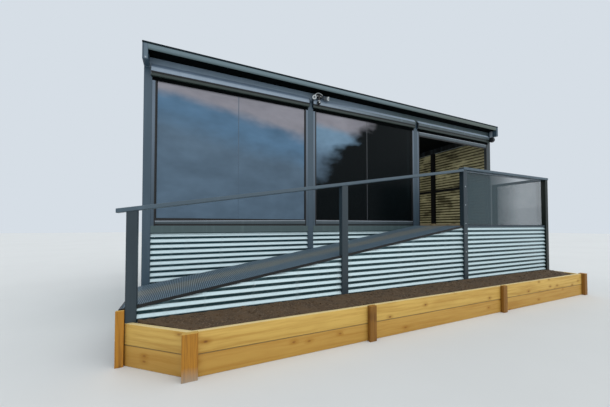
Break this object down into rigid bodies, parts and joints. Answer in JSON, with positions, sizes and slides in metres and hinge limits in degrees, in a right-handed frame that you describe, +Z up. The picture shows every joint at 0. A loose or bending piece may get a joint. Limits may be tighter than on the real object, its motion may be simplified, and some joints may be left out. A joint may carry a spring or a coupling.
{
  "type": "raised deck cabin with ramp",
  "caption": "Raised steel-framed cabin on a corrugated skirt, with clear roller blinds, a mesh access ramp, a glazed landing, a handrail and a timber planter in front.",
  "frame": {"origin": "centre of the object's bounding box on level ground", "axes": "+X to the right along the front, +Y from the front to the rear, +Z up"},
  "size_m": [7.735, 5.064, 3.726],
  "materials": {
    "frame_paint": "satin blue-grey paint",
    "dark_steel": "satin charcoal paint",
    "fascia_paint": "satin grey-green paint",
    "roof_sheet": "satin pale grey paint",
    "wall_sheet": "unpainted zinc-aluminium coated corrugated sheet, dulled",
    "galvanised_sheet": "zinc-aluminium coated corrugated sheet",
    "deck_timber": "weathered boards",
    "blind_metal": "powder-coated aluminium",
    "clear_sheet": "clear flexible sheet",
    "lamp_plastic": "black moulded plastic with white rims",
    "mesh_steel": "dark ribbed mesh",
    "tinted_glass": "grey-green tinted glass",
    "sleeper_timber": "new treated pine",
    "soil": "dark garden soil"
  },
  "bodies": {
    "root": {"floor_frame": "dark_steel", "floor_boards": "deck_timber", "front_post_1": "frame_paint", "front_post_2": "frame_paint", "front_post_3": "frame_paint", "front_post_4": "frame_paint", "rear_posts": "frame_paint", "wall_frames": "dark_steel", "front_beam": "frame_paint", "rear_beam": "frame_paint", "left_beam": "frame_paint", "right_beam": "frame_paint", "roof_panel": "roof_sheet", "front_fascia": "fascia_paint", "rear_fascia": "fascia_paint", "left_barge": "frame_paint", "right_barge": "frame_paint", "left_wall": "wall_sheet", "right_wall": "wall_sheet", "rear_wall": "wall_sheet", "front_skirt": "galvanised_sheet", "left_skirt": "galvanised_sheet", "right_skirt": "galvanised_sheet", "rear_skirt": "galvanised_sheet", "blind_hood_1": "blind_metal", "blind_hood_2": "blind_metal", "blind_hood_3": "blind_metal", "blind_gear": "dark_steel", "blind_curtain_1": "clear_sheet", "blind_curtain_2": "clear_sheet", "blind_curtain_3": "clear_sheet", "blind_bottom_bars": "blind_metal", "blind_tracks": "blind_metal", "security_light": "lamp_plastic", "ramp_deck": "mesh_steel", "ramp_frame": "dark_steel", "ramp_foot": "dark_steel", "ramp_skirt": "galvanised_sheet", "landing_boards": "mesh_steel", "landing_frame": "dark_steel", "landing_skirts": "galvanised_sheet", "outer_post_1": "frame_paint", "outer_post_2": "frame_paint", "outer_post_3": "frame_paint", "outer_post_4": "frame_paint", "end_post": "frame_paint", "ramp_handrail": "frame_paint", "landing_rails": "frame_paint", "landing_glass": "tinted_glass", "planter_front": "sleeper_timber", "planter_ends": "sleeper_timber", "planter_pegs": "sleeper_timber", "planter_soil": "soil"}
  },
  "joints": []
}
